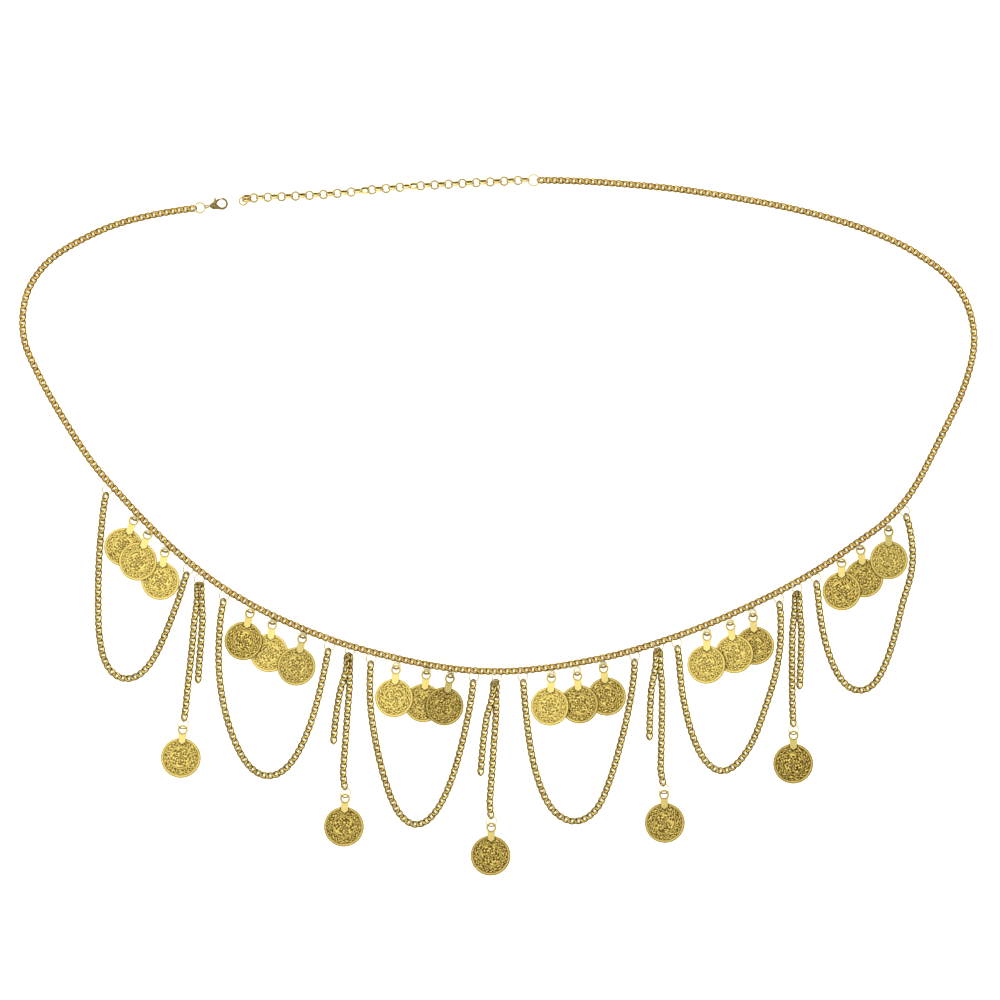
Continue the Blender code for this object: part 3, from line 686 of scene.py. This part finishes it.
def hang_ring(name, node_name, waist, near, finishes, chance, sunk=0.0):
    """A jump ring through the waist chain, pushed up under it by sunk; returns its middle."""
    foot, down = nearest_on(waist, near)
    centre = foot + down * (SWAG_RING_TOP + SWAG_RING_DIAMETER / 2 - sunk)
    turn = math.atan2(down[0], -down[1])
    tone = chance.uniform(*RING_TONES)
    piece = jump_ring(SWAG_RING_DIAMETER, (*centre, SWAG_RING_HEIGHT), SWAG_RING_LEAN, turn, tone)
    put(name, assemble(name, [piece]), [finishes["ring_gold"]], "chain", node_name)
    return centre


def waist_chain(link, waist, finishes, chance):
    line = waist
    for end, diameter in ((CLASP_RING_AT, END_RING_DIAMETER), (EXTENDER_RING_AT, EXTENDER_RING_DIAMETER)):
        line = from_ring(line, np.array(end) * MM, inner_reach(diameter))[::-1]
    mesh = assemble("waist_links", lay_links(link, line, chance))
    put("waist_links", mesh, [finishes["waist_gold"]], "chain", "waist_chain")


def swag(name, route, link, waist, finishes, chance):
    line = smooth_route(route, LINK_PITCH)
    for side in ("left", "right"):
        ring_name, ring_node = f"{name}_{side}_jump_ring", f"{name}_ring_{side}"
        centre = hang_ring(ring_name, ring_node, waist, line[0], finishes, chance)
        line = from_ring(line, centre, inner_reach(SWAG_RING_DIAMETER))[::-1]
    mesh = assemble(f"{name}_links", lay_links(link, line, chance))
    put(f"{name}_links", mesh, [finishes["swag_gold"]], "chain", name)


def drop(name, legs, coin_row, link, waist, finishes, chance):
    """A drop: one chain folded over its ring, with a coin on the longer leg."""
    number = name[-1]
    coin_ring = drop_coin(f"drop_coin_{number}", *coin_row, finishes, chance)
    free = smooth_route(legs["free"], LINK_PITCH)
    coin = smooth_route(legs["coin"], LINK_PITCH)[::-1]
    coin = from_ring(coin, coin_ring, inner_reach(END_RING_DIAMETER))[::-1]
    side = free[0] - coin[0]
    fold_radius = np.linalg.norm(side) / 2
    side = side / (2 * fold_radius)
    middle = (free[0] + coin[0]) / 2
    ring_x, sunk = legs["ring"]
    foot, slant = cross_line(waist, np.array([ring_x * MM, middle[1]]), UP)
    under = foot - UP * (SWAG_RING_TOP + SWAG_RING_DIAMETER / 2) / slant
    ring_name, ring_node = f"drop_{number}_jump_ring", f"drop_ring_{number}"
    centre = hang_ring(ring_name, ring_node, waist, under, finishes, chance, sunk * MM)
    down = (middle - centre) / np.linalg.norm(middle - centre)
    top = centre + down * (FOLD_TOP + fold_radius)
    away = np.array([-side[1], side[0]]) * math.copysign(1, side[0])
    angles = np.linspace(0, math.pi, FOLD_STEPS)
    bend = [top + fold_radius * (side * math.cos(a) + away * math.sin(a)) for a in angles]
    line = even_points(np.vstack([free[::-1], bend, coin]), LINK_PITCH)
    near_fold = 1 - ease((line - top) @ down, 2 * MM, FOLD_LENGTH)
    beside = (line - middle) @ side
    line = line - np.outer(FOLD_PINCH * near_fold * beside, side)
    lifts = FOLD_LIFT * near_fold * ease(beside, -1 * MM, 1.5 * MM)
    mesh = assemble(f"drop_{number}_links", lay_links(link, line, chance, lifts))
    put(f"drop_{number}_links", mesh, [finishes["swag_gold"]], "chain", name)


# Coins


def struck_disc(diameter, chance):
    """A coin with a plain rim, struck on both sides, its foot at z 0."""
    radius = diameter / 2
    rows = [(0.0, COIN_FIELD)]
    rows += [(share * radius, COIN_FIELD) for share in np.linspace(0.035, 0.88, 26)]
    rows += [(0.885 * radius, COIN_THICKNESS - 0.05 * MM), (0.905 * radius, COIN_THICKNESS)]
    rows += [(0.97 * radius, COIN_THICKNESS)]
    rows += [(0.993 * radius, COIN_THICKNESS - 0.08 * MM), (radius, COIN_THICKNESS - 0.28 * MM)]
    rows += [(radius, 0.25 * MM), (0.985 * radius, 0.06 * MM), (0.95 * radius, 0.0), (0.905 * radius, 0.0)]
    rows += [(share * radius, BACK_FIELD) for share in np.linspace(0.88, 0.035, 22)] + [(0.0, BACK_FIELD)]
    shape = bmesh.new()
    points = [shape.verts.new((across, 0, up)) for across, up in rows]
    for first, second in zip(points, points[1:]):
        shape.edges.new((first, second))
    bmesh.ops.spin(
        shape, geom=shape.verts[:] + shape.edges[:], cent=(0, 0, 0), axis=(0, 0, 1),
        angle=math.tau, steps=COIN_STEPS, use_merge=True,
    )
    mesh = mesh_of(shape)
    places = points_of(mesh)
    share = np.hypot(places[:, 0], places[:, 1]) / radius
    angle = np.arctan2(places[:, 1], places[:, 0]) + chance.uniform(0, math.tau)
    field = (share < 0.882) & (places[:, 2] > COIN_FIELD / 2)
    height = ornament(share, angle, chance)
    back = (share < 0.882) & (places[:, 2] < COIN_FIELD / 2)
    places[:, 2] += np.where(field, height * COIN_RELIEF, 0) - np.where(back, height * BACK_RELIEF, 0)
    mesh.vertices.foreach_set("co", places.ravel())
    # Painted shade: a dark outline at the coin's outer edge and on its lower edge; the hollows of the
    # relief hold patina
    edge_shade = 0.24 + 0.76 * ease(share, 0.962, 0.995)
    shade_and_patina = np.where(field | back, 0.96 - 0.88 * height + 0.25 * ridge(share, 0.87, 0.025), edge_shade)
    shade_and_patina = np.where((places[:, 2] < COIN_FIELD * 0.6) & (share > 0.972), 0.7, shade_and_patina)
    # Painted shadow of the tab's tongue on the coin's face, dark under it and just around it
    beside_tongue = np.abs(places[:, 0]) - TAB_WIDTH / 2
    past_tip = radius - TAB_LAP + TAB_POINT * np.abs(places[:, 0]) / (TAB_WIDTH / 2) - places[:, 1]
    tab_shadow = 1 - ease(np.maximum(beside_tongue, past_tip), 0.2 * MM, 0.75 * MM)
    return mesh, np.maximum(shade_and_patina, np.where(places[:, 2] > COIN_FIELD / 2, 0.95 * tab_shadow, 0))


def ornament(share, angle, chance):
    """Height from 0 to 1 of a generic ornament: small scrolls, an inner circle and curling stems."""
    marks = int(chance.integers(20, 28))
    lean = chance.choice([-1, 1])
    phase = chance.uniform(0, math.tau, 8)
    wave = np.sin(math.tau * (share - 0.58) / 0.14 + phase[0])
    uneven = 1.1 * np.sin(5 * angle + phase[1]) + 0.9 * np.sin(11 * angle + 9 * share + phase[2])
    scrolls = np.sin(marks * angle + lean * 1.9 * wave + uneven)
    scrolls = scrolls + 0.5 * np.sin(39 * share + 4 * angle + 1.5 * uneven + phase[3])
    across, along = share * np.cos(angle), share * np.sin(angle)
    bend = np.sin(7 * across + phase[4]) + np.sin(8 * along + phase[5])
    bend = bend + 1.1 * np.sin(4 * angle + 13 * share + phase[1])
    bend = bend + 0.8 * np.sin(3 * angle - 25 * share + phase[3])
    stems = np.sin(7 * angle + 31 * share + bend + phase[6])
    stems = stems + np.sin(9 * angle - 34 * share + bend + phase[7])
    scroll_band = ease(share, 0.57, 0.60) * (1 - ease(share, 0.82, 0.86))
    stem_band = 1 - ease(share, 0.47, 0.50)
    carved = ease(scrolls, -0.6, 0.7) * scroll_band + (0.1 + 0.9 * ease(stems, -0.9, 0.85)) * stem_band
    plain = 0.42 * (1 - scroll_band) * (1 - stem_band)
    return np.clip(carved + plain + 0.5 * ridge(share, 0.535, 0.03), 0, 1)


def coin_tab(eye_y, coin_y, coin_radius):
    """The flat tab: a round eye with a hole and a pointed tongue on the coin, its edges rounded."""
    shape = bmesh.new()
    middle = Matrix.Translation((0, eye_y, TAB_LOW))
    bmesh.ops.create_circle(shape, segments=EYE_STEPS, radius=EYE_DIAMETER / 2, matrix=middle)
    outer = shape.edges[:]
    bmesh.ops.create_circle(shape, segments=EYE_STEPS, radius=EYE_HOLE / 2, matrix=middle)
    bmesh.ops.bridge_loops(shape, edges=shape.edges[:])
    low = eye_y - EYE_DIAMETER / 2 * 0.62
    foot = [edge for edge in outer if all(vert.co.y < low for vert in edge.verts)]
    drawn = bmesh.ops.extrude_edge_only(shape, edges=foot)
    tip = coin_y + coin_radius - TAB_LAP
    ends = [part for part in drawn["geom"] if isinstance(part, bmesh.types.BMVert)]
    widest = max(abs(vert.co.x) for vert in ends)
    for vert in ends:
        vert.co.x *= TAB_WIDTH / 2 / widest
        vert.co.y = tip + TAB_POINT * abs(vert.co.x) / (TAB_WIDTH / 2)
    raised = bmesh.ops.extrude_face_region(shape, geom=shape.faces[:], use_keep_orig=True)
    up = [part for part in raised["geom"] if isinstance(part, bmesh.types.BMVert)]
    bmesh.ops.translate(shape, verts=up, vec=(0, 0, TAB_THICKNESS))
    bmesh.ops.recalc_face_normals(shape, faces=shape.faces[:])
    rims = [
        edge for edge in shape.edges
        if len(edge.link_faces) == 2 and edge.calc_face_angle() > math.radians(60)
    ]
    bmesh.ops.bevel(
        shape, geom=rims, offset=TAB_ROUNDING, offset_type="OFFSET", segments=2, profile=0.5,
        affect="EDGES", material=-1, clamp_overlap=True,
    )
    mesh = mesh_of(shape, 20)
    places = points_of(mesh)
    from_eye = np.hypot(places[:, 0], places[:, 1] - eye_y)
    # Painted shade around the eye's hole and on the tab's lower edges
    shade_and_patina = 0.9 * (1 - ease(from_eye, EYE_HOLE / 2 + 0.05 * MM, EYE_HOLE / 2 + 0.8 * MM))
    shade_and_patina = np.maximum(shade_and_patina, 0.8 * (1 - ease(places[:, 2], TAB_LOW + 0.2 * MM, TAB_LOW + 0.8 * MM)))
    return mesh, shade_and_patina


def hung_coin(diameter, ring_reach, ring_half_width, ring_wire, tone, chance):
    """Disc, tab and ring along -y from the axis at the origin; ring_reach is above and below it."""
    ring_high, ring_low = ring_reach
    eye_y = -ring_low + COIN_RING_CENTRE - HINGE_WIRE / 2
    coin_y = eye_y - EYE_TO_COIN
    ring_z = TAB_LOW + TAB_THICKNESS / 2
    disc, disc_shade_and_patina = struck_disc(diameter, chance)
    tab, tab_shade = coin_tab(eye_y, coin_y, diameter / 2)
    ring_foot = ring_low - COIN_RING_RISE
    half_height = (ring_foot + ring_high) / 2
    ring, places = wire_ring(half_height, ring_half_width, ring_wire, ring_wire, 28, 8)
    # Painted shade on the ring where it lies in the eye's hole, and on the ring's wire
    shade_in_eye = ease(-points_of(ring)[:, 0], half_height - 1.2 * MM, half_height - 0.7 * MM)
    ring_shade = np.maximum(wire_shade(places, 0.4, 0.3), shade_in_eye)
    ring_at = Matrix.Translation((0, (ring_high - ring_foot) / 2, ring_z))
    ring_at = ring_at @ Matrix.Rotation(COIN_RING_LEAN, 4, "Y") @ Matrix.Rotation(math.pi / 2, 4, "Z")
    pieces = [
        (disc, Matrix.Translation((0, coin_y, 0)), disc_shade_and_patina, tone, 0),
        (tab, Matrix.Identity(4), tab_shade, 0.35 + 0.6 * tone, 1),
        (ring, ring_at, ring_shade, chance.uniform(*COIN_RING_TONES), 2),
    ]
    return assemble("coin", pieces), -coin_y, ring_z


def place_coin(mesh, axis_z, axis, heading, tilt, lift):
    """Moves a coin from its own frame to the world, its axis point at axis."""
    turn = Matrix.Rotation(heading, 4, "Z") @ Matrix.Rotation(tilt, 4, "Y")
    mesh.transform(Matrix.Translation((*axis, axis_z)) @ turn @ Matrix.Translation((0, 0, -axis_z)))
    rise = FLOOR_CLEARANCE + lift - points_of(mesh)[:, 2].min()
    mesh.transform(Matrix.Translation((0, 0, rise)))


def upward(swing):
    """The heading of a coin whose foot swings left by so many degrees, and the direction up to its ring."""
    heading = -math.radians(swing)
    return heading, np.array([-math.sin(heading), math.cos(heading)])


def group_coin(name, body, waist, x, y, swing, tilt, lift, tone, finishes, chance):
    middle = np.array([x, y]) * MM
    heading, up = upward(swing)
    foot, slant = cross_line(waist, middle, up)
    room = np.linalg.norm(foot - middle) - EYE_TO_COIN + COIN_RING_CENTRE + HINGE_WIRE / 2
    away = (2 * COIN_CLEARANCE + room * (1 - slant) + HINGE_WIRE * slant) / (1 + slant)
    ring_low = room - away - HINGE_WIRE
    reach = (COIN_RING_REACH, ring_low)
    mesh, _, axis_z = hung_coin(
        GROUP_COIN_DIAMETER, reach, COIN_RING_HALF_WIDTH, COIN_RING_WIRE, tone, chance,
    )
    place_coin(mesh, axis_z, foot - up * away, heading, math.radians(tilt), lift * MM)
    coin_finishes = [finishes["coin_gold"], finishes["tab_gold"], finishes["ring_gold"]]
    put(f"struck_{name}", mesh, coin_finishes, body, name)


def drop_coin(name, x, y, swing, tone, finishes, chance):
    """The coin that ends a drop; returns the middle of its ring."""
    middle = np.array([x, y]) * MM
    heading, up = upward(swing)
    ring_low = END_RING_DIAMETER - HINGE_WIRE
    mesh, reach, axis_z = hung_coin(
        DROP_COIN_DIAMETER, (0.0, ring_low), ring_low / 2, RING_WIRE, tone, chance,
    )
    axis = middle + up * reach
    place_coin(mesh, axis_z, axis, heading, 0.0, 0.0)
    coin_finishes = [finishes["coin_gold"], finishes["tab_gold"], finishes["ring_gold"]]
    put(f"struck_{name}", mesh, coin_finishes, name.replace("drop", "end"), name)
    return axis - up * ring_low / 2


# Extender and clasp


def rolo_roll(number):
    if number in ROLO_HALF_TURNED:
        return ROLO_TURNED
    turned = sum(number > other for other in ROLO_HALF_TURNED)
    return ROLO_STANDING if (number + turned) % 2 else 0.0


def extender(finishes, chance):
    """Round links, alternately lying and standing, with a doubled link and a ring at the free end."""
    half = ROLO_DIAMETER / 2 - ROLO_ACROSS / 2
    link, places = wire_ring(half, half, ROLO_ACROSS, ROLO_BAND, 18, 6)
    # Painted shade for links that lie and for links that stand
    lying = wire_shade(places, outer=0.9, inner=0.1, start=-0.3)
    out, level, end = places
    standing = wire_shade((out, np.ones_like(level), end), outer=0.0, inner=1.0, outer_end=1.0)
    line = smooth_route(EXTENDER_ROUTE, ROLO_STEP)
    pieces = []
    for number in range(-1, ROLO_LAST + 1):
        x = ROLO_FIRST_X + number * ROLO_STEP
        y = np.interp(x, line[:, 0], line[:, 1])
        roll = rolo_roll(number) + chance.normal(0, ROLO_SWAY)
        height = ROLO_DIAMETER / 2 * math.sin(-roll) + ROLO_BAND / 2 * math.cos(roll) + FLOOR_CLEARANCE
        height = max(height, ROLO_MIDDLE_HEIGHT)
        shade = standing if rolo_roll(number) else lying
        for spot in [0.0] if number >= 0 else DOUBLED_LINK_SPOTS:
            at = Matrix.Translation((x, y + spot, height)) @ Matrix.Rotation(ROLO_HEADING, 4, "Z")
            tone = chance.uniform(*ROLO_TONES) if number >= 0 else DOUBLED_LINK_TONE
            pieces.append((link, at @ Matrix.Rotation(roll, 4, "X"), shade, tone, 0))
    end, places = wire_ring(half, half, EXTENDER_RING_WIRE, EXTENDER_RING_WIRE, 24, 8)
    at = Matrix.Translation((END_LINK_AT[0] * MM, END_LINK_AT[1] * MM, 1.2 * MM))
    pieces.append((end, at, wire_shade(places, 0.9, 0.2, start=-0.3), 0.6, 0))
    mesh = assemble("extender_links", pieces)
    put("extender_links", mesh, [finishes["extender_gold"]], "chain", "extender")


def end_rings(finishes):
    for name, (x, y), diameter, wire in (
        ("clasp_ring", CLASP_RING_AT, END_RING_DIAMETER, CLASP_RING_WIRE),
        ("extender_ring", EXTENDER_RING_AT, EXTENDER_RING_DIAMETER, EXTENDER_RING_WIRE),
    ):
        piece = jump_ring(diameter, (x * MM, y * MM, LINK_HEIGHT), END_RING_LEAN, 0.0, 0.35, wire, 0.95)
        put(f"{name}_wire", assemble(name, [piece]), [finishes["ring_gold"]], "chain", name)


def clasp(finishes):
    """Lobster clasp: a rounded body that runs out into the hook, a collar, a tail eye and the gate."""
    at = Matrix.Translation((CLASP_LOOP_AT[0] * MM, CLASP_LOOP_AT[1] * MM, 0))
    at = at @ Matrix.Rotation(CLASP_TURN, 4, "Z")
    radius = CLASP_HOOK_RADIUS / MM
    angles = np.radians([*np.linspace(*CLASP_HOOK_ARC, CLASP_HOOK_STEPS), CLASP_TIP_ANGLE])
    widths = [*np.linspace(*CLASP_HOOK_WIDTHS, CLASP_HOOK_STEPS), CLASP_TIP_WIDTH]
    talls = [*(1.1 * width for width in widths[:-1]), CLASP_TIP_WIDTH]
    bend = zip(angles, widths, talls)
    hook = [(radius * math.cos(angle), radius * math.sin(angle), wide, tall) for angle, wide, tall in bend]
    body = tube(CLASP_BODY + hook, CLASP_MIDDLE_HEIGHT)
    eye, places = wire_ring(*CLASP_EYE_SIZE, CLASP_EYE_WIRE, CLASP_EYE_WIRE, 20, 8)
    eye_at = at @ Matrix.Translation((CLASP_EYE_X, 0, CLASP_MIDDLE_HEIGHT))
    eye_at = eye_at @ Matrix.Rotation(CLASP_EYE_LEAN, 4, "X")
    collar = tube(CLASP_COLLAR, CLASP_MIDDLE_HEIGHT)
    pieces = [
        (body, at, np.full(len(body.vertices), 0.35), 0.5, 0),
        (collar, at, np.full(len(collar.vertices), 0.1), 0.9, 1),
        (eye, eye_at, wire_shade(places, 0.9, 0.7), 0.1, 1),
    ]
    clasp_finishes = [finishes["clasp_bronze"], finishes["ring_gold"]]
    put("clasp_hook", assemble("clasp_hook", pieces), clasp_finishes, "chain", "clasp_body")
    gate = tube(CLASP_GATE, CLASP_MIDDLE_HEIGHT)
    nub = tube(CLASP_NUB, CLASP_MIDDLE_HEIGHT)
    pieces = [
        (gate, at, np.full(len(gate.vertices), 0.3), 0.6, 0),
        (nub, at, np.full(len(nub.vertices), 0.2), 0.8, 0),
    ]
    mesh = assemble("clasp_thumb_gate", pieces)
    put("clasp_thumb_gate", mesh, [finishes["clasp_bronze"]], "clasp_gate", "clasp_lever")


# Table, light and camera

FRAME_WIDTH = 508.0 * MM
CAMERA_HEIGHT = 3.0
CAMERA_AT = (0.8 * MM, 12.5 * MM)
HORIZON_LIGHT = 0.36
OVERHEAD_LIGHT = 1.05


def table():
    shape = bmesh.new()
    bmesh.ops.create_grid(shape, x_segments=1, y_segments=1, size=4.0)
    top = bpy.data.objects.new("table_top", mesh_of(shape))
    bpy.context.scene.collection.objects.link(top)
    paint = bpy.data.materials.new("glowing_pale_table")
    paint.use_nodes = True
    shader = paint.node_tree.nodes["Principled BSDF"]
    shader.inputs["Base Color"].default_value = (0.95, 0.92, 0.80, 1.0)
    shader.inputs["Roughness"].default_value = 0.9
    shader.inputs["Specular IOR Level"].default_value = 0.1
    # Painted light: the table top glows, which lifts the shade under the pieces and in the chain's holes
    shader.inputs["Emission Color"].default_value = (1.0, 0.94, 0.75, 1.0)
    shader.inputs["Emission Strength"].default_value = 0.85
    top.data.materials.append(paint)


def softbox(name, place, aim, size, watts):
    lamp = bpy.data.lights.new(name, "AREA")
    lamp.shape = "SQUARE"
    lamp.size = size
    lamp.energy = watts
    holder = bpy.data.objects.new(name, lamp)
    holder.location = place
    holder.rotation_euler = (Vector(aim) - Vector(place)).to_track_quat("-Z", "Y").to_euler()
    holder.visible_camera = False
    bpy.context.scene.collection.objects.link(holder)


def light():
    """A white room, brighter overhead than at the horizon, with two soft boxes."""
    world = bpy.data.worlds.new("studio")
    world.use_nodes = True
    tree = world.node_tree
    split = node(tree, "ShaderNodeSeparateXYZ")
    tree.links.new(node(tree, "ShaderNodeTexCoord").outputs["Generated"], split.inputs[0])
    walls = tree.nodes["Background"]
    strength = spread(tree, split.outputs["Z"], HORIZON_LIGHT, OVERHEAD_LIGHT)
    tree.links.new(strength, walls.inputs["Strength"])
    walls.inputs["Color"].default_value = (1.0, 1.0, 1.0, 1.0)
    bpy.context.scene.world = world
    softbox("overhead_softbox", (-0.2, 0.35, 1.3), (0.0, 0.0, 0.0), 1.3, 5.0)
    softbox("side_softbox", (-1.2, 1.0, 1.2), (0.0, 0.0, 0.0), 0.6, 6.0)
    bpy.context.scene.view_settings.view_transform = "Standard"
    bpy.context.scene.view_settings.look = "None"


def camera():
    """Straight above, at a height that gives the frame its width on the table."""
    lens = bpy.data.cameras.new("overhead_camera")
    lens.sensor_width = 36.0
    lens.lens = lens.sensor_width * CAMERA_HEIGHT / FRAME_WIDTH
    lens.clip_start = 0.05
    lens.clip_end = 50.0
    holder = bpy.data.objects.new("overhead_camera", lens)
    holder.location = (*CAMERA_AT, CAMERA_HEIGHT)
    bpy.context.scene.collection.objects.link(holder)
    bpy.context.scene.camera = holder


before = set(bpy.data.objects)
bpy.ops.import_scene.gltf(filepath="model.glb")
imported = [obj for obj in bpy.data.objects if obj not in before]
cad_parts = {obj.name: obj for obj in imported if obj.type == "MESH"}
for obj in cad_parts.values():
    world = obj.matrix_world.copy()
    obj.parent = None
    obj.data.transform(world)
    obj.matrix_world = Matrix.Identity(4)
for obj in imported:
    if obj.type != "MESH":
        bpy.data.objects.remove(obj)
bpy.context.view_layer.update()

camera()
light()
table()
gold = make_finishes()
dice = np.random.default_rng(11)
curb_link = wire_ring(LINK_HALF_LENGTH, LINK_HALF_WIDTH, LINK_WIRE, LINK_WIRE_HEIGHT, 12, 6, LINK_TWIST)
waist_line = smooth_route(WAIST_ROUTE, LINK_PITCH)
waist_chain(curb_link, waist_line, gold, dice)
for swag_name, swag_route in SWAG_ROUTES.items():
    swag(swag_name, swag_route, curb_link, waist_line, gold, dice)
for (drop_name, drop_legs), drop_row in zip(DROP_ROUTES.items(), DROP_COINS.values()):
    drop(drop_name, drop_legs, drop_row, curb_link, waist_line, gold, dice)
for group_name, group_rows in COIN_GROUPS.items():
    for place_in_group, coin_row in enumerate(group_rows, 1):
        group_body = group_name.replace("coin", "coins")
        group_coin(f"{group_name}_{place_in_group}", group_body, waist_line, *coin_row, gold, dice)
extender(gold, dice)
end_rings(gold)
clasp(gold)
